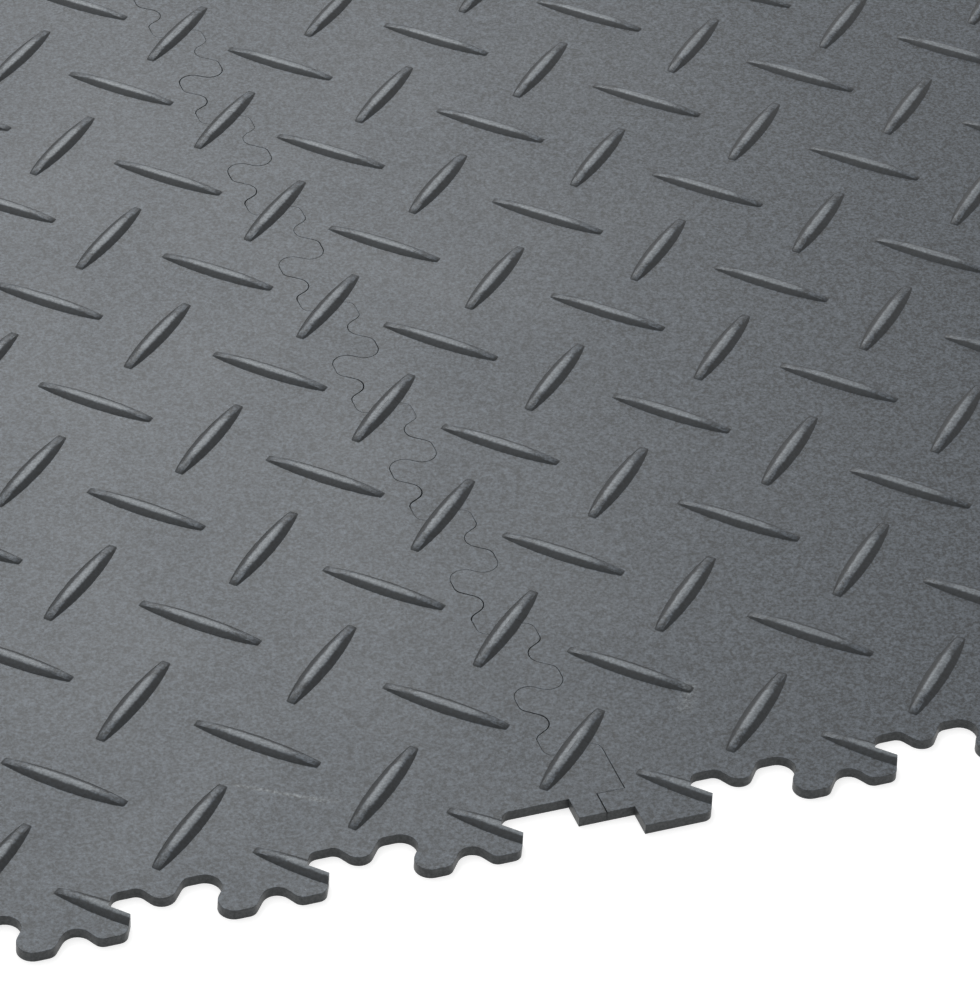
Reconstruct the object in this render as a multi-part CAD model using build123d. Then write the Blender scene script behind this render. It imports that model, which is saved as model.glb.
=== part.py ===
from build123d import *
from math import ceil, cos, radians, tan
import os

# Interlocking floor mat of two moulded tiles, side by side along X. Each tile is one flexible
# moulding: a flat slab with raised checker-plate lugs on top and puzzle teeth on all four sides.
# The four sides are one path turned by 90 degrees, so any side fits any side of another tile.
# Millimetres, +Z up. The origin is the middle of the seam between the tiles, on the floor.

# Driving dimensions
tile_size = 500.0  # one laid tile, from seam line to seam line
lug_rows = 9  # periods of the lug pattern, and teeth, along one side
base_thickness = 3.1  # the slab without its lugs
seam_clearance = 0.3  # gap left between two joined tiles

# Raised lugs: low ridges, widest in the middle, lying at 45 degrees, alternately / and \
lug_length = 39.0
lug_width = 6.6  # of the foot, across its middle
lug_end_width = 3.0  # of the foot, across its blunt ends
lug_height = 1.4  # above the slab
crest_length = 37.0  # of the flat along the ridge
crest_width = 2.2

# Puzzle teeth, each between a neck and the middle of an edge lug, measured from the seam line
tooth_reach = 8.2  # out to a tooth's end
neck_lean = 6.0  # how far a tooth's back corner hangs behind its neck
notch_depth = 9.3  # of the sharp vee between a tooth's two lobes
notch_back = 7.2  # from the vee's point to the back lobe, along the tooth's end
notch_front = 5.3  # from the vee's point to the front lobe
notch_shift = 0.9  # of the vee's point past a quarter of the period
tip_reach = 2.4  # how far the seam follows the ridge of a cut lug, out from its middle
front_setback = 0.2  # of a tooth's front corner behind the lug's middle
corner_step = 8.2  # side of the square step at a tile's corner

# Rounding of a tooth's corners, in flats because a tile has hundreds of them
back_radius = 4.6
notch_radius = 4.2
lobe_radius = 3.0
front_radius = 3.0
flat_turn = 45.0  # the most that the outline turns between two flats, degrees

period = tile_size / lug_rows
half_tile = tile_size / 2


def side_path():
    # one side of a tile, corner to corner, as (point, radius), along +X with outwards at -Y;
    # each gap is the tooth beside it turned by half a turn, so two tiles mesh everywhere
    vee = period / 4 + notch_shift
    back_half = [
        (-neck_lean, tooth_reach, back_radius),
        (vee - notch_back, tooth_reach, lobe_radius),
        (vee, tooth_reach - notch_depth, notch_radius),
        (vee + notch_front, tooth_reach, lobe_radius),
    ]
    front_half = [
        (period / 2 - front_setback, tooth_reach, front_radius),
        (period / 2 + tip_reach, tip_reach, 0),
    ]
    path = [(0, 0, 0), (corner_step, 0, 0), (corner_step, tooth_reach, 0)]
    for k in range(lug_rows):
        tooth = (back_half if k > 0 else []) + front_half
        gap = (back_half if k < lug_rows - 1 else []) + front_half
        path += [(k * period + s, t, r) for s, t, r in tooth]
        path += [((k + 1) * period - s, -t, r) for s, t, r in reversed(gap)]
    path += [(tile_size - corner_step, -tooth_reach, 0), (tile_size - corner_step, 0, 0)]
    return [(Vector(s - half_tile, -half_tile - t), r) for s, t, r in path]


def rounded(before, corner, after, radius):
    # the points of a corner whose flats touch an arc of that radius
    arrive, leave = (corner - before).normalized(), (after - corner).normalized()
    turn = arrive.get_angle(leave) * (1 if arrive.cross(leave).Z > 0 else -1)
    count = ceil(abs(turn) / flat_turn)
    step = turn / count
    first = corner - arrive * (radius * tan(radians(abs(turn) / 2)))
    centre = first + arrive.rotate(Axis.Z, 90 if turn > 0 else -90) * radius
    arm = (first - centre) / cos(radians(step / 2))
    return [centre + arm.rotate(Axis.Z, step * (k + 0.5)) for k in range(count)]


def tile_outline():
    front = side_path()
    path = [(p.rotate(Axis.Z, 90 * turn), r) for turn in range(4) for p, r in front]
    corners, count = [p for p, r in path], len(path)
    lines = [corners[(k + 1) % count] - corners[k] for k in range(count)]
    # what each rounding takes of the two lines that meet at its corner
    takes = [r * tan(radians(lines[k - 1].get_angle(lines[k]) / 2)) for k, (p, r) in enumerate(path)]
    wanted = [takes[k] + takes[(k + 1) % count] for k in range(count)]
    fits = [min(1, line.length / take) if take else 1 for line, take in zip(lines, wanted)]
    points = []
    for k, (corner, radius) in enumerate(path):
        # a short line limits the roundings at its ends
        radius *= min(fits[k - 1], fits[k])
        before, after = corners[k - 1], corners[(k + 1) % count]
        points += rounded(before, corner, after, radius) if radius else [corner]
    plan = make_face(Polyline(*points, close=True))
    return offset(plan, -seam_clearance / 2, kind=Kind.INTERSECTION)


def whole_lug():
    # a lug of the \ kind, standing on the slab at the middle of the tile
    foot = [(lug_length / 2, lug_end_width / 2), (0, lug_width / 2)]
    crest = (crest_length / 2, crest_width / 2)
    points = [(i * x, j * y, 0) for x, y in foot for i in (-1, 1) for j in (-1, 1)]
    points += [(i * crest[0], j * crest[1], lug_height) for i in (-1, 1) for j in (-1, 1)]
    return Pos(0, 0, base_thickness) * Rot(0, 0, -45) * ConvexPolyhedron(points)


def make_tile():
    outline = tile_outline()
    lug = whole_lug()
    inner = [place * lug for place in GridLocations(period, period, lug_rows, lug_rows - 1)]
    # the seam runs along the ridge of an edge lug, so each tile has half of it
    room = extrude(outline, base_thickness + lug_height)
    first = Pos((period - tile_size) / 2, -half_tile) * lug & room
    front = [Pos(k * period) * first for k in range(lug_rows)]
    lugs = [Rot(0, 0, 90 * turn) * one for turn in range(2) for one in inner]
    lugs += [Rot(0, 0, 90 * turn) * one for turn in range(4) for one in front]
    return extrude(outline, base_thickness).fuse(*lugs)


tile = make_tile()
os.makedirs("parts", exist_ok=True)
export_step(Pos(-half_tile) * tile, "parts/tile_left.step")
export_step(Pos(half_tile) * tile, "parts/tile_right.step")
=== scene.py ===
from math import ceil, cos, pi, radians, sin, tan

import bpy
from mathutils import Matrix, Quaternion, Vector


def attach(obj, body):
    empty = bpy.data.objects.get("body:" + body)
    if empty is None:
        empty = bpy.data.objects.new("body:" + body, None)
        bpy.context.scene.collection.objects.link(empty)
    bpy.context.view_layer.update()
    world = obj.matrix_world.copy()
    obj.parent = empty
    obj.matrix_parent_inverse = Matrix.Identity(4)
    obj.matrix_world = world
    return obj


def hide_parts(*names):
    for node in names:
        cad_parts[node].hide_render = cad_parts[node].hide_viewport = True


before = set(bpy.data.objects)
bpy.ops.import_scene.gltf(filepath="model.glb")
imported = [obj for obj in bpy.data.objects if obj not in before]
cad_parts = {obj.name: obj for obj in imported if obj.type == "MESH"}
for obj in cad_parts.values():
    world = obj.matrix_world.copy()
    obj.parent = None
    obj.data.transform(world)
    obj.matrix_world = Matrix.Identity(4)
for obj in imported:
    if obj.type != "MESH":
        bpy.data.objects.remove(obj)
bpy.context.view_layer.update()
print("stage: frame loaded")

millimetre = 0.001


def addNode(tree, kind, inputs=None, **settings):
    # an input is a value, or the socket of another node to link it to
    node = tree.nodes.new(kind)
    for name, value in settings.items():
        setattr(node, name, value)
    for key, value in (inputs or {}).items():
        if isinstance(value, bpy.types.NodeSocket):
            tree.links.new(value, node.inputs[key])
        else:
            node.inputs[key].default_value = value
    return node


def mathNode(tree, operation, first, second=None, clamp=False):
    inputs = {0: first} if second is None else {0: first, 1: second}
    return addNode(tree, "ShaderNodeMath", inputs, operation=operation, use_clamp=clamp).outputs[0]


def mapRange(tree, value, fromLow, fromHigh, toLow=0.0, toHigh=1.0, smooth=False):
    kind = "SMOOTHSTEP" if smooth else "LINEAR"
    inputs = {"Value": value, "From Min": fromLow, "From Max": fromHigh, "To Min": toLow, "To Max": toHigh}
    return addNode(tree, "ShaderNodeMapRange", inputs, interpolation_type=kind).outputs[0]


def noiseNode(tree, position, scale, detail, roughness=0.5):
    inputs = {"Vector": position, "Scale": scale, "Detail": detail, "Roughness": roughness}
    return addNode(tree, "ShaderNodeTexNoise", inputs).outputs[0]


def mixColor(tree, factor, first, second, blend="MIX"):
    inputs = {0: factor, 6: first, 7: second}
    return addNode(tree, "ShaderNodeMix", inputs, data_type="RGBA", blend_type=blend).outputs[2]


def newGroup(name, kind, inputs, outputs):
    tree = bpy.data.node_groups.new(name, kind)
    for label, socket, value in inputs:
        made = tree.interface.new_socket(label, in_out="INPUT", socket_type=socket)
        if value is not None:
            made.default_value = value
    for label, socket in outputs:
        tree.interface.new_socket(label, in_out="OUTPUT", socket_type=socket)
    return tree, tree.nodes.new("NodeGroupInput").outputs, tree.nodes.new("NodeGroupOutput").inputs


cameraView = {
    "aim": (0.0173, -0.1039, 0.0031),  # a place on the mat, in metres
    "distance": 1.4178,
    "azimuth": -21.05,  # degrees, 0 looks along +Y
    "elevation": 37.52,
    "roll": 2.69,
    "lens": 174.3,  # millimetres
    "near": 0.05,
    "far": 50,
}


def makeCamera():
    data = bpy.data.cameras.new("camera")
    camera = bpy.data.objects.new("camera", data)
    bpy.context.scene.collection.objects.link(camera)
    around, up = radians(cameraView["azimuth"]), radians(cameraView["elevation"])
    back = Vector((sin(around) * cos(up), -cos(around) * cos(up), sin(up)))
    camera.rotation_mode = "QUATERNION"
    camera.location = Vector(cameraView["aim"]) + back * cameraView["distance"]
    roll = Quaternion((0, 0, 1), radians(cameraView["roll"]))
    camera.rotation_quaternion = (-back).to_track_quat("-Z", "Y") @ roll
    data.lens = cameraView["lens"]
    data.clip_start, data.clip_end = cameraView["near"], cameraView["far"]
    data.dof.use_dof = False
    bpy.context.scene.camera = camera


makeCamera()
print("stage: camera placed")

tileSize = {
    "side": 0.5,  # seam line to seam line
    "rows": 9,  # teeth, and periods of the lug pattern, along a side
    "thickness": 3.1 * millimetre,
    "tightGap": 0.03 * millimetre,  # between the tiles at the floor, and where the seam runs through a lug
    "seamGap": 0.26 * millimetre,  # at the top, where the fit is loosest along the teeth
    "cornerGap": 0.24 * millimetre,
    "cornerReach": 12.0 * millimetre,  # how far a corner's own gap reaches along a side
    "lugReach": 4.5 * millimetre,  # how far from an edge lug's middle the seam stays tight
    "trimInset": 0.01 * millimetre,  # of the edge lugs' cut faces behind the slab's
    "trimFrom": 0.5,  # where the edge lugs are cut, in thicknesses of the slab
    "trimTo": 3.0,
    "edgeSoftening": 0.08 * millimetre,  # chamfer of the slab's top edge
    "arcStep": 12.0,  # degrees between two points of a rounded corner
    "mitreFrom": 0.5,  # sine of the turn from which a corner is set in by a mitre
    "smoothAngle": 26.0,  # sharper edges than this stay crisp
    "levelFrom": 0.9999,  # upward part of the normal of a face that counts as level
    "lugSlant": 45.0,  # degrees between a lug and a side
}
# the uneven fit along a side: three waves in radians per metre, and how they open the gap
seamWander = {
    "first": 173,
    "second": 61,
    "shift": 1.3,
    "third": 419,
    "thirdShare": 0.5,
    "least": 0.1,
    "middle": 0.5,
    "swing": 0.45,
}
# a tooth in millimetres, from the middle of its neck's lug and from the seam line
toothSize = {
    "reach": 8.2,
    "neckLean": 6.0,  # how far the back corner hangs behind the neck
    "notchDepth": 9.3,
    "notchBack": 7.2,  # from the notch to the back lobe
    "notchFront": 5.3,
    "notchShift": 0.9,
    "tipReach": 2.4,  # how far the seam follows an edge lug's ridge to each side
    "frontSetback": 0.2,
    "cornerStep": 8.2,  # side of the square step at a tile's corner
    "backRadius": 4.6,
    "notchRadius": 4.2,
    "lobeRadius": 3.0,
    "frontRadius": 3.0,
}
lugSize = {
    "Lug Length": 39.4 * millimetre,
    "Lug Width": 7.1 * millimetre,
    "End Width": 3.1 * millimetre,
    "Crest Width": 1.7 * millimetre,  # the level top, between the sloping sides
    "Crest Softening": 0.75 * millimetre,
    "Lug Height": 1.4 * millimetre,
    "Lug Sink": 0.15 * millimetre,  # how far a lug's foot goes into the slab
    "Groove Spacing": 12.5 * millimetre,
    "Groove Width": 1.6 * millimetre,
    "Groove Depth": 0.45 * millimetre,
}
# the form of a lug, as powers and as shares of its length, width and height
lugShape = {
    "endCrowding": 2.1,  # brings the points closer together towards the ends
    "taperPower": 2.0,
    "crestTaper": 0.7,
    "archPower": 4.0,
    "archDrop": 0.8,
    "crestFall": 0.03,
    "shoulderFall": 0.12,
    "footFall": 0.85,
    "grooveMargin": 0.7,  # periods that the grooves leave free, both ends together
}
period = tileSize["side"] / tileSize["rows"]
halfTile = tileSize["side"] / 2


def sidePath():
    # one side of a tile along +X, outwards at -Y; every gap is the tooth beside it turned by half a turn
    t = {name: value * millimetre for name, value in toothSize.items()}
    vee = period / 4 + t["notchShift"]
    back = [
        (-t["neckLean"], t["reach"], t["backRadius"]),
        (vee - t["notchBack"], t["reach"], t["lobeRadius"]),
        (vee, t["reach"] - t["notchDepth"], t["notchRadius"]),
        (vee + t["notchFront"], t["reach"], t["lobeRadius"]),
    ]
    front = [
        (period / 2 - t["frontSetback"], t["reach"], t["frontRadius"]),
        (period / 2 + t["tipReach"], t["tipReach"], 0),
    ]
    step, side = t["cornerStep"], tileSize["side"]
    path = [(0, 0, 0), (step, 0, 0), (step, t["reach"], 0)]
    for k in range(tileSize["rows"]):
        tooth = (back if k > 0 else []) + front
        gap = (back if k < tileSize["rows"] - 1 else []) + front
        path += [(k * period + s, out, r) for s, out, r in tooth]
        path += [((k + 1) * period - s, -out, r) for s, out, r in reversed(gap)]
    path += [(side - step, -t["reach"], 0), (side - step, 0, 0)]
    return [(Vector((s - halfTile, -halfTile - out)), r) for s, out, r in path]


def roundedCorner(before, corner, after, radius):
    arrive, leave = (corner - before).normalized(), (after - corner).normalized()
    turn = -arrive.angle_signed(leave)  # anticlockwise is positive
    count = max(2, ceil(abs(turn) / radians(tileSize["arcStep"])))
    first = corner - arrive * radius * tan(abs(turn) / 2)
    inward = Vector((-arrive.y, arrive.x)) * (1 if turn > 0 else -1)
    centre = first + inward * radius
    return [centre + Matrix.Rotation(turn * k / count, 2) @ (first - centre) for k in range(count + 1)]


def tileOutline():
    front = sidePath()
    path = [(Matrix.Rotation(pi / 2 * turn, 2) @ point, r) for turn in range(4) for point, r in front]
    points = []
    for k, (corner, radius) in enumerate(path):
        before, after = path[k - 1][0], path[(k + 1) % len(path)][0]
        points += roundedCorner(before, corner, after, radius) if radius else [corner]
    return points


def seamGap(point, along, opening):
    # the fit is uneven: tight in some places and open in others, and at a corner open only across the seam
    upright = abs(point.x) > abs(point.y)
    if min(abs(point.x), abs(point.y)) > halfTile - tileSize["cornerReach"]:
        slide = abs(along.y) if upright else abs(along.x)
        return tileSize["tightGap"] + opening * tileSize["cornerGap"] * slide
    place = point.y if upright else point.x
    if abs(place / period - round(place / period)) * period < tileSize["lugReach"]:
        return tileSize["tightGap"]
    w = seamWander
    wander = sin(place * w["first"]) * sin(place * w["second"] + w["shift"])
    wander += w["thirdShare"] * sin(place * w["third"])
    openness = max(w["least"], w["middle"] + w["swing"] * wander)
    return tileSize["tightGap"] + opening * tileSize["seamGap"] * openness


def insetOutline(points, opening, extra=0.0):
    inset = []
    for k, point in enumerate(points):
        before, after = points[k - 1], points[(k + 1) % len(points)]
        arrive, leave = (point - before).normalized(), (after - point).normalized()
        first, second = Vector((-arrive.y, arrive.x)), Vector((-leave.y, leave.x))
        one = seamGap((point + before) / 2, arrive, opening) / 2 + extra
        two = seamGap((point + after) / 2, leave, opening) / 2 + extra
        turn = arrive.cross(leave)
        if abs(turn) > tileSize["mitreFrom"]:
            inset.append(point + (leave * one - arrive * two) / turn)
        else:
            inset.append(point + (first + second) * (one + two) / 2 / (1 + first.dot(second)))
    return inset


def stackRings(name, rings):
    # a closed solid from outlines stacked upwards
    count = len(rings[0])
    vertices = [point for ring in rings for point in ring]
    faces = [tuple(reversed(range(count))), tuple(range(count * (len(rings) - 1), count * len(rings)))]
    for level in range(len(rings) - 1):
        for k in range(count):
            a, b = level * count + k, level * count + (k + 1) % count
            faces.append((a, b, b + count, a + count))
    mesh = bpy.data.meshes.new(name)
    mesh.from_pydata(vertices, [], faces)
    mesh.update()
    item = bpy.data.objects.new(name, mesh)
    bpy.context.scene.collection.objects.link(item)
    return item


def atHeight(points, z):
    return [(p.x, p.y, z) for p in points]


def makeLugTree():
    sizes = [(label, "NodeSocketFloat", value) for label, value in lugSize.items()]
    tree, given, result = newGroup(
        "raisedLugs", "GeometryNodeTree",
        [("Slab", "NodeSocketGeometry", None), ("Trim", "NodeSocketObject", None),
         ("Rows", "NodeSocketInt", 9), ("Period", "NodeSocketFloat", 0.05),
         ("Thickness", "NodeSocketFloat", 0.003), *sizes, ("Finish", "NodeSocketMaterial", None)],
        [("Tile", "NodeSocketGeometry")],
    )

    def op(operation, first, second=None):
        return mathNode(tree, operation, first, second)

    # one lug: a block of 11 by 7 by 2 points, shaped by where each point lies on it
    blockInputs = {"Size": (2, 2, 2), "Vertices X": 11, "Vertices Y": 7, "Vertices Z": 2}
    block = addNode(tree, "GeometryNodeMeshCube", blockInputs)
    position = addNode(tree, "GeometryNodeInputPosition").outputs[0]
    place = addNode(tree, "ShaderNodeSeparateXYZ", {0: position}).outputs
    along, across = op("ABSOLUTE", place[0]), op("ABSOLUTE", place[1])
    reach = op("SUBTRACT", 1.0, op("POWER", op("SUBTRACT", 1.0, along), lugShape["endCrowding"]))
    halfLength = op("MULTIPLY", given["Lug Length"], 0.5)
    x = op("MULTIPLY", op("MULTIPLY", op("SIGN", place[0]), reach), halfLength)
    towardsEnd = op("POWER", reach, lugShape["taperPower"])
    taper = op("MULTIPLY", op("SUBTRACT", given["Lug Width"], given["End Width"]), towardsEnd)
    foot = op("MULTIPLY", op("SUBTRACT", given["Lug Width"], taper), 0.5)
    crestShare = op("SUBTRACT", 1.0, op("MULTIPLY", towardsEnd, lugShape["crestTaper"]))
    crest = op("MULTIPLY", op("MULTIPLY", given["Crest Width"], 0.5), crestShare)
    shoulder = op("ADD", crest, given["Crest Softening"])
    # the points lie at 0, 1/3, 2/3 and 1 across: ridge, crest edge, shoulder and foot
    onCrest, onShoulder, atFoot = [op("GREATER_THAN", across, limit) for limit in (0.2, 0.5, 0.8)]
    spread = op("MULTIPLY", crest, onCrest)
    spread = op("ADD", spread, op("MULTIPLY", given["Crest Softening"], onShoulder))
    spread = op("ADD", spread, op("MULTIPLY", op("SUBTRACT", foot, shoulder), atFoot))
    y = op("MULTIPLY", op("SIGN", place[1]), spread)
    bow = op("MULTIPLY", op("POWER", reach, lugShape["archPower"]), lugShape["archDrop"])
    beforeEnd = op("LESS_THAN", along, 0.99)
    arch = op("MULTIPLY", op("SUBTRACT", 1.0, bow), beforeEnd)
    falls = [op("MULTIPLY", onCrest, lugShape["crestFall"]), op("MULTIPLY", onShoulder, lugShape["shoulderFall"])]
    fall = op("ADD", falls[0], op("ADD", falls[1], op("MULTIPLY", atFoot, lugShape["footFall"])))
    rise = op("MULTIPLY", arch, op("SUBTRACT", 1.0, fall))
    crown = op("MULTIPLY", rise, op("ADD", given["Lug Height"], given["Lug Sink"]))
    isTop = op("GREATER_THAN", place[2], 0.0)
    depth = op("MULTIPLY", op("SUBTRACT", 2.0, isTop), given["Lug Sink"])
    z = op("ADD", given["Thickness"], op("SUBTRACT", op("MULTIPLY", crown, isTop), depth))
    shape = addNode(tree, "ShaderNodeCombineXYZ", {0: x, 1: y, 2: z}).outputs[0]
    lug = addNode(tree, "GeometryNodeSetPosition", {"Geometry": block.outputs[0], "Position": shape}).outputs[0]

    # lugs of both slants, on two grids half a period apart
    rows = given["Rows"]
    more = op("ADD", rows, 1.0)
    long = op("MULTIPLY", rows, given["Period"])
    short = op("MULTIPLY", op("SUBTRACT", rows, 1.0), given["Period"])
    slant = radians(tileSize["lugSlant"])
    grids = [(slant, long, short, more, rows), (-slant, short, long, rows, more)]
    spots = []
    for turn, sizeX, sizeY, countX, countY in grids:
        gridInputs = {"Size X": sizeX, "Size Y": sizeY, "Vertices X": countX, "Vertices Y": countY}
        grid = addNode(tree, "GeometryNodeMeshGrid", gridInputs).outputs[0]
        spotInputs = {"Points": grid, "Instance": lug, "Rotation": (0, 0, turn)}
        spots.append(addNode(tree, "GeometryNodeInstanceOnPoints", spotInputs))
    together = addNode(tree, "GeometryNodeJoinGeometry")
    for spot in reversed(spots):
        tree.links.new(spot.outputs[0], together.inputs[0])
    lugs = addNode(tree, "GeometryNodeRealizeInstances", {0: together.outputs[0]}).outputs[0]

    # shallow grooves across the underside
    grooveCount = op("ADD", op("FLOOR", op("DIVIDE", short, given["Groove Spacing"])), 1.0)
    start = op("MULTIPLY", op("MULTIPLY", op("SUBTRACT", grooveCount, 1.0), given["Groove Spacing"]), -0.5)
    inner = op("SUBTRACT", long, op("MULTIPLY", given["Period"], lugShape["grooveMargin"]))
    deep = op("MULTIPLY", given["Groove Depth"], 2.0)
    channel = addNode(tree, "ShaderNodeCombineXYZ", {0: given["Groove Width"], 1: inner, 2: deep}).outputs[0]
    bar = addNode(tree, "GeometryNodeMeshCube", {"Size": channel}).outputs[0]
    first = addNode(tree, "ShaderNodeCombineXYZ", {0: start}).outputs[0]
    step = addNode(tree, "ShaderNodeCombineXYZ", {0: given["Groove Spacing"]}).outputs[0]
    lineInputs = {"Count": grooveCount, "Start Location": first, "Offset": step}
    line = addNode(tree, "GeometryNodeMeshLine", lineInputs).outputs[0]
    bars = addNode(tree, "GeometryNodeInstanceOnPoints", {"Points": line, "Instance": bar}).outputs[0]
    oneWay = addNode(tree, "GeometryNodeRealizeInstances", {0: bars}).outputs[0]
    otherWay = addNode(tree, "GeometryNodeTransform", {"Geometry": oneWay, "Rotation": (0, 0, pi / 2)}).outputs[0]
    grooved = given["Slab"]
    for cutter in (oneWay, otherWay):
        cut = addNode(tree, "GeometryNodeMeshBoolean", {"Mesh 1": grooved, "Mesh 2": cutter},
                      operation="DIFFERENCE", solver="MANIFOLD")
        grooved = cut.outputs[0]

    # lugs on the edge are cut along the tile's outline, then all become one skin
    room = addNode(tree, "GeometryNodeObjectInfo", {"Object": given["Trim"]}).outputs["Geometry"]
    trimmed = addNode(tree, "GeometryNodeMeshBoolean", operation="INTERSECT", solver="MANIFOLD")
    tree.links.new(lugs, trimmed.inputs["Mesh 2"])
    tree.links.new(room, trimmed.inputs["Mesh 2"])
    whole = addNode(tree, "GeometryNodeMeshBoolean", operation="UNION", solver="MANIFOLD")
    tree.links.new(grooved, whole.inputs["Mesh 2"])
    tree.links.new(trimmed.outputs[0], whole.inputs["Mesh 2"])
    realized = addNode(tree, "GeometryNodeRealizeInstances", {0: whole.outputs[0]}).outputs[0]
    finished = addNode(tree, "GeometryNodeSetMaterial", {"Geometry": realized, "Material": given["Finish"]})
    tree.links.new(finished.outputs[0], result["Tile"])
    return tree


def makeTile(name, body, shift, tree, finish):
    soft, thick = tileSize["edgeSoftening"], tileSize["thickness"]
    outline = tileOutline()
    # the walls lean in a little towards the top, as a moulding's do
    foot, edge, brim = insetOutline(outline, 0), insetOutline(outline, 1), insetOutline(outline, 1, soft)
    slab = stackRings(name, [atHeight(foot, 0), atHeight(edge, thick - soft), atHeight(brim, thick)])
    justInside = insetOutline(outline, 1, tileSize["trimInset"])
    cutHeights = [tileSize["trimFrom"] * thick, tileSize["trimTo"] * thick]
    trim = stackRings(name + "Trim", [atHeight(justInside, z) for z in cutHeights])
    modifier = slab.modifiers.new("lugs", "NODES")
    modifier.node_group = tree
    values = {"Trim": trim, "Rows": tileSize["rows"], "Period": period, "Thickness": thick, "Finish": finish}
    values.update(lugSize)
    for item in tree.interface.items_tree:
        if item.item_type == "SOCKET" and item.in_out == "INPUT" and item.name in values:
            modifier[item.identifier] = values[item.name]
    seen = slab.evaluated_get(bpy.context.evaluated_depsgraph_get())
    mesh = bpy.data.meshes.new_from_object(seen)
    mesh.name = name
    slab.modifiers.clear()
    slab.data = mesh
    bpy.data.objects.remove(trim)
    mesh.transform(Matrix.Translation((shift, 0, 0)))
    mesh.shade_smooth()
    mesh.set_sharp_from_angle(angle=radians(tileSize["smoothAngle"]))
    for face in mesh.polygons:
        if abs(face.normal.z) > tileSize["levelFrom"]:
            face.use_smooth = False  # level faces stay flat beside the rounded lugs
    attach(slab, body)
    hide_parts(body)
    print("piece", name, len(mesh.vertices), "vertices", len(mesh.polygons), "faces", mesh.materials[0].name)


vinylFinish = {
    "color": (0.040, 0.047, 0.056, 1),
    "cutColor": (0.054, 0.057, 0.058, 1),  # the plain side walls
    "crestHighlightColor": (0.117, 0.130, 0.142, 1),  # painted highlight: the tops of the lugs, painted lighter than the flat top
    "flankPaintedShade": 0.84,  # painted shade: how much darker the lugs' sloping sides are painted
    "roughness": 0.42,
    "specular": 0.38,
    "specularTint": (0.92, 0.97, 1.0, 1),
    "crestRoughness": 0.4,
    "cloudScale": 16.0,
    "cloudTone": 0.06,
    "cloudRoughness": 0.05,
    "grainScale": 1100.0,
    "grainTone": 1.95,
    "grainDepth": 0.062 * millimetre,
    "grainShift": {"leftVinyl": (0, 0, 0), "rightVinyl": (3.7, 1.9, 0)},  # so that the tiles differ
    "crestGrain": 0.4,  # how much of the grain is left on the polished crests
    "wallGrain": 0.5,
    "speckSpacing": 11.0 * millimetre,
    "speckSize": 0.35 * millimetre,
    "speckColor": (0.17, 0.18, 0.18, 1),
    "scuffColor": (0.138, 0.148, 0.152, 1),
}
# pale marks on each tile: start, end, width, strength
leftMarks = [
    ((-0.0939, -0.2096, 0), (-0.0736, -0.2222, 0), 1.1 * millimetre, 1.0),
    ((-0.0762, -0.2206, 0), (-0.0698, -0.2236, 0), 1.8 * millimetre, 0.45),
]
rightMarks = [
    ((0.0418, -0.2062, 0), (0.0368, -0.2148, 0), 3.6 * millimetre, 0.55),
    ((0.0405, -0.2056, 0), (0.0397, -0.2085, 0), 1.8 * millimetre, 0.5),
]

reliefLimits = {
    "raised": 0.06,  # heights above the slab, as shares of a lug's height
    "crestFrom": 0.82,
    "crestTo": 0.96,
    "wallBelow": -0.05,
    "steep": 0.9,  # the normal's upward part
    "level": 0.985,
}
grainShape = {
    "detail": 2.0,
    "roughness": 0.7,
    "coarseScale": 0.3,
    "coarseShare": 0.18,
    "contrast": 4.0,
    "darkest": 0.1,
}
cloudShape = {"detail": 4.0, "roughness": 0.6, "contrast": 2.5}
speckShape = {"smallest": 0.4, "bareShare": 0.6}  # of the largest speck, and of the cells
scuffShape = {"scale": 900.0, "detail": 2.0, "from": 0.3, "to": 0.7}


def makeReliefGroup():
    # tells a lug's crest and sides, and the slab's cut walls, by height and slope; the crest mask places a painted
    # highlight and the side mask painted shade
    tree, given, result = newGroup(
        "moldedRelief", "ShaderNodeTree",
        [("Position", "NodeSocketVector", None), ("Normal", "NodeSocketVector", None),
         ("Slab Top", "NodeSocketFloat", 0.003), ("Lug Height", "NodeSocketFloat", 0.001)],
        [("Crest", "NodeSocketFloat"), ("Flank", "NodeSocketFloat"), ("Wall", "NodeSocketFloat")],
    )
    height = addNode(tree, "ShaderNodeSeparateXYZ", {0: given["Position"]}).outputs[2]
    upright = addNode(tree, "ShaderNodeSeparateXYZ", {0: given["Normal"]}).outputs[2]
    above = mathNode(tree, "SUBTRACT", height, given["Slab Top"])
    share = mathNode(tree, "DIVIDE", above, given["Lug Height"])
    limits = reliefLimits
    raised = mapRange(tree, share, 0.0, limits["raised"])
    level = mapRange(tree, upright, limits["steep"], limits["level"], smooth=True)
    crest = mapRange(tree, share, limits["crestFrom"], limits["crestTo"], smooth=True)
    tree.links.new(crest, result["Crest"])
    # Flank: where the painted shade goes, on the lugs' sloping sides
    tree.links.new(mathNode(tree, "MULTIPLY", raised, mathNode(tree, "SUBTRACT", 1.0, level)), result["Flank"])
    tree.links.new(mathNode(tree, "LESS_THAN", share, limits["wallBelow"]), result["Wall"])
    return tree


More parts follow.
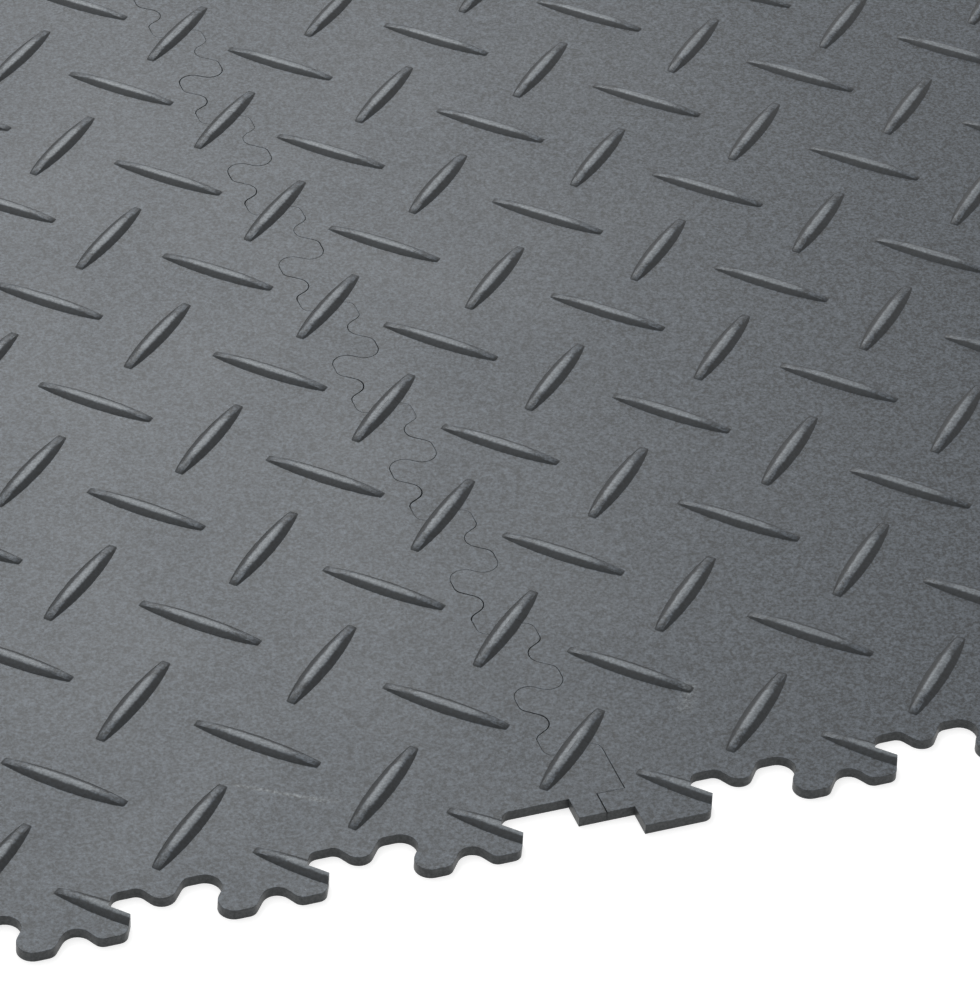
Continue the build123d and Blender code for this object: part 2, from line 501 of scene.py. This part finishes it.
def makeGrainGroup():
    # the fine matte grain of a moulded surface, as height and as a tone round 1
    tree, given, result = newGroup(
        "fineGrain", "ShaderNodeTree",
        [("Position", "NodeSocketVector", None), ("Scale", "NodeSocketFloat", 1500.0),
         ("Tone", "NodeSocketFloat", 0.2)],
        [("Height", "NodeSocketFloat"), ("Tone", "NodeSocketFloat")],
    )
    coarseScale = mathNode(tree, "MULTIPLY", given["Scale"], grainShape["coarseScale"])
    fine = noiseNode(tree, given["Position"], given["Scale"], grainShape["detail"], grainShape["roughness"])
    fine = mathNode(tree, "MULTIPLY", fine, 1 - grainShape["coarseShare"])
    coarse = noiseNode(tree, given["Position"], coarseScale, 1.0)
    coarse = mathNode(tree, "MULTIPLY", coarse, grainShape["coarseShare"])
    both = mathNode(tree, "ADD", fine, coarse)
    tree.links.new(both, result["Height"])
    strength = mathNode(tree, "MULTIPLY", given["Tone"], grainShape["contrast"])
    centred = mathNode(tree, "MULTIPLY", mathNode(tree, "SUBTRACT", both, 0.5), strength)
    tone = mathNode(tree, "MAXIMUM", mathNode(tree, "ADD", 1.0, centred), grainShape["darkest"])
    tree.links.new(tone, result["Tone"])
    return tree


def makeCloudGroup():
    # slow, soft changes of tone over a tile
    tree, given, result = newGroup(
        "softClouds", "ShaderNodeTree",
        [("Position", "NodeSocketVector", None), ("Scale", "NodeSocketFloat", 16.0),
         ("Tone", "NodeSocketFloat", 0.05)],
        [("Value", "NodeSocketFloat"), ("Tone", "NodeSocketFloat")],
    )
    cloud = noiseNode(tree, given["Position"], given["Scale"], cloudShape["detail"], cloudShape["roughness"])
    centred = mathNode(tree, "MULTIPLY", mathNode(tree, "SUBTRACT", cloud, 0.5), cloudShape["contrast"])
    tree.links.new(centred, result["Value"])
    tree.links.new(mathNode(tree, "ADD", 1.0, mathNode(tree, "MULTIPLY", centred, given["Tone"])), result["Tone"])
    return tree


def makeSpeckGroup():
    # a few specks of dust, one in some of the cells of a loose grid
    tree, given, result = newGroup(
        "dustSpecks", "ShaderNodeTree",
        [("Position", "NodeSocketVector", None), ("Spacing", "NodeSocketFloat", 0.01),
         ("Size", "NodeSocketFloat", 0.0003)],
        [("Mask", "NodeSocketFloat")],
    )
    scale = mathNode(tree, "DIVIDE", 1.0, given["Spacing"])
    cells = addNode(tree, "ShaderNodeTexVoronoi", {"Vector": given["Position"], "Scale": scale},
                    voronoi_dimensions="2D").outputs
    chance = addNode(tree, "ShaderNodeSeparateColor", {0: cells["Color"]}).outputs
    size = mapRange(tree, chance[1], 0.0, 1.0, speckShape["smallest"], 1.0)
    reach = mathNode(tree, "MULTIPLY", mathNode(tree, "DIVIDE", given["Size"], given["Spacing"]), size)
    inside = mathNode(tree, "SUBTRACT", 1.0, mathNode(tree, "DIVIDE", cells["Distance"], reach), clamp=True)
    picked = mapRange(tree, chance[0], speckShape["bareShare"], 1.0)
    tree.links.new(mathNode(tree, "MULTIPLY", inside, picked), result["Mask"])
    return tree


def makeScuffGroup():
    # one pale rubbed line between two points, broken up along its length
    tree, given, result = newGroup(
        "paleScuff", "ShaderNodeTree",
        [("Position", "NodeSocketVector", None), ("Start", "NodeSocketVector", None),
         ("End", "NodeSocketVector", None), ("Width", "NodeSocketFloat", 0.001),
         ("Strength", "NodeSocketFloat", 0.5)],
        [("Mask", "NodeSocketFloat")],
    )

    def vectorNode(operation, first, second=None):
        inputs = {0: first} if second is None else {0: first, 1: second}
        node = addNode(tree, "ShaderNodeVectorMath", inputs, operation=operation)
        return node.outputs["Value"] if operation in ("DOT_PRODUCT", "LENGTH") else node.outputs[0]

    flat = vectorNode("MULTIPLY", given["Position"], (1, 1, 0))
    toPoint = vectorNode("SUBTRACT", flat, given["Start"])
    toEnd = vectorNode("SUBTRACT", given["End"], given["Start"])
    lengthSquared = vectorNode("DOT_PRODUCT", toEnd, toEnd)
    share = mathNode(tree, "DIVIDE", vectorNode("DOT_PRODUCT", toPoint, toEnd), lengthSquared, clamp=True)
    onLine = addNode(tree, "ShaderNodeVectorMath", {0: toEnd, "Scale": share}, operation="SCALE").outputs[0]
    away = mathNode(tree, "DIVIDE", vectorNode("LENGTH", vectorNode("SUBTRACT", toPoint, onLine)), given["Width"])
    near = mapRange(tree, away, 0.0, 1.0, 1.0, 0.0, smooth=True)
    broken = noiseNode(tree, flat, scuffShape["scale"], scuffShape["detail"])
    rubbed = mathNode(tree, "MULTIPLY", near, mapRange(tree, broken, scuffShape["from"], scuffShape["to"]))
    tree.links.new(mathNode(tree, "MULTIPLY", rubbed, given["Strength"]), result["Mask"])
    return tree


def makeFinish(name, marks):
    look = vinylFinish
    material = bpy.data.materials.new(name)
    material.use_nodes = True
    tree = material.node_tree
    shader = tree.nodes["Principled BSDF"]
    where = addNode(tree, "ShaderNodeTexCoord").outputs
    shifted = {"Vector": where["Object"], "Location": look["grainShift"][name]}
    placed = addNode(tree, "ShaderNodeMapping", shifted).outputs[0]

    def effect(group, inputs):
        return addNode(tree, "ShaderNodeGroup", inputs, node_tree=group).outputs

    shader.inputs["Specular IOR Level"].default_value = look["specular"]
    shader.inputs["Specular Tint"].default_value = look["specularTint"]
    relief = effect(reliefGroup, {"Position": where["Object"], "Normal": where["Normal"],
                                  "Slab Top": tileSize["thickness"], "Lug Height": lugSize["Lug Height"]})
    grain = effect(grainGroup, {"Position": placed, "Scale": look["grainScale"], "Tone": look["grainTone"]})
    cloud = effect(cloudGroup, {"Position": placed, "Scale": look["cloudScale"], "Tone": look["cloudTone"]})
    speck = effect(speckGroup, {"Position": placed, "Spacing": look["speckSpacing"], "Size": look["speckSize"]})

    # painted highlight: the lugs' crests get a lighter base colour
    color = mixColor(tree, relief["Crest"], look["color"], look["crestHighlightColor"])
    for start, end, width, strength in marks:
        scuff = effect(scuffGroup, {"Position": where["Object"], "Start": start, "End": end,
                                    "Width": width, "Strength": strength})
        color = mixColor(tree, scuff["Mask"], color, look["scuffColor"])
    color = mixColor(tree, speck["Mask"], color, look["speckColor"])
    color = mixColor(tree, relief["Wall"], color, look["cutColor"])
    kept = mapRange(tree, relief["Crest"], 0.0, 1.0, 1.0, look["crestGrain"])
    kept = mathNode(tree, "MULTIPLY", kept, mapRange(tree, relief["Wall"], 0.0, 1.0, 1.0, look["wallGrain"]))
    grainTone = addNode(tree, "ShaderNodeMix", {0: kept, 2: 1.0, 3: grain["Tone"]}, data_type="FLOAT").outputs[0]
    # painted shade: the lugs' sloping sides are darkened in the base colour
    shade = mathNode(tree, "SUBTRACT", 1.0, mathNode(tree, "MULTIPLY", relief["Flank"], look["flankPaintedShade"]))
    tone = mathNode(tree, "MULTIPLY", mathNode(tree, "MULTIPLY", shade, grainTone), cloud["Tone"])
    tree.links.new(mixColor(tree, 1.0, color, tone, "MULTIPLY"), shader.inputs["Base Color"])
    rough = mapRange(tree, relief["Crest"], 0.0, 1.0, look["roughness"], look["crestRoughness"])
    rough = mathNode(tree, "ADD", rough, mathNode(tree, "MULTIPLY", cloud["Value"], look["cloudRoughness"]))
    tree.links.new(rough, shader.inputs["Roughness"])
    bumpHeight = mathNode(tree, "MULTIPLY", grain["Height"], kept)
    bump = addNode(tree, "ShaderNodeBump", {"Height": bumpHeight, "Strength": 1.0, "Distance": look["grainDepth"]})
    tree.links.new(bump.outputs[0], shader.inputs["Normal"])
    return material


reliefGroup, grainGroup, cloudGroup = makeReliefGroup(), makeGrainGroup(), makeCloudGroup()
speckGroup, scuffGroup = makeSpeckGroup(), makeScuffGroup()
lugTree = makeLugTree()
makeTile("leftTile", "tile_left", -halfTile, lugTree, makeFinish("leftVinyl", leftMarks))
makeTile("rightTile", "tile_right", halfTile, lugTree, makeFinish("rightVinyl", rightMarks))
print("stage: tiles made")

studio = {
    "floorSize": 12.0,
    "floorColor": (0.6, 0.6, 0.6, 1),
    "floorRoughness": 0.9,
    "floorLift": 0.66,  # added white that is seen but lights nothing
    "worldStrength": 0.5,
    # name, size, power, position; each lamp points at the middle of the mat
    "lamps": [
        ("backSoftbox", 0.8, 13.7, (0.30, 1.5, 1.39)),
        ("overheadSoftbox", 2.4, 20.0, (-0.7, 1.0, 2.2)),
    ],
}


def seenRays(tree):
    # 1 for the rays that show the surroundings: straight, mirrored or through
    path = addNode(tree, "ShaderNodeLightPath").outputs
    mirrored = mathNode(tree, "MAXIMUM", path["Is Camera Ray"], path["Is Glossy Ray"])
    return mathNode(tree, "MAXIMUM", mirrored, path["Is Transmission Ray"])


def makeFloor():
    half = studio["floorSize"] / 2
    mesh = bpy.data.meshes.new("floor")
    mesh.from_pydata([(-half, -half, 0), (half, -half, 0), (half, half, 0), (-half, half, 0)], [], [(0, 1, 2, 3)])
    floor = bpy.data.objects.new("floor", mesh)
    bpy.context.scene.collection.objects.link(floor)
    material = bpy.data.materials.new("whitePaper")
    material.use_nodes = True
    tree = material.node_tree
    shader = tree.nodes["Principled BSDF"]
    shader.inputs["Base Color"].default_value = studio["floorColor"]
    shader.inputs["Roughness"].default_value = studio["floorRoughness"]
    shader.inputs["Specular IOR Level"].default_value = 0.0
    shader.inputs["Emission Color"].default_value = (1, 1, 1, 1)
    lift = mathNode(tree, "MULTIPLY", seenRays(tree), studio["floorLift"])
    tree.links.new(lift, shader.inputs["Emission Strength"])
    mesh.materials.append(material)


def makeLamps():
    for name, size, power, place in studio["lamps"]:
        data = bpy.data.lights.new(name, "AREA")
        data.shape, data.size, data.energy = "SQUARE", size, power
        lamp = bpy.data.objects.new(name, data)
        bpy.context.scene.collection.objects.link(lamp)
        lamp.location = place
        lamp.rotation_euler = (Vector((0, 0, 0)) - Vector(place)).to_track_quat("-Z", "Y").to_euler()


def makeWorld():
    world = bpy.data.worlds.new("studioWorld")
    bpy.context.scene.world = world
    world.use_nodes = True
    tree = world.node_tree
    plain = tree.nodes["Background"]  # lights the scene; the backdrop is what is seen
    plain.inputs["Color"].default_value = (1, 1, 1, 1)
    plain.inputs["Strength"].default_value = studio["worldStrength"]
    backdrop = addNode(tree, "ShaderNodeBackground", {"Color": (1, 1, 1, 1), "Strength": 1.0})
    chosen = addNode(tree, "ShaderNodeMixShader", {0: seenRays(tree), 1: plain.outputs[0], 2: backdrop.outputs[0]})
    tree.links.new(chosen.outputs[0], tree.nodes["World Output"].inputs["Surface"])


makeFloor()
makeLamps()
makeWorld()
bpy.context.scene.view_settings.view_transform = "Standard"
print("stage: studio made")
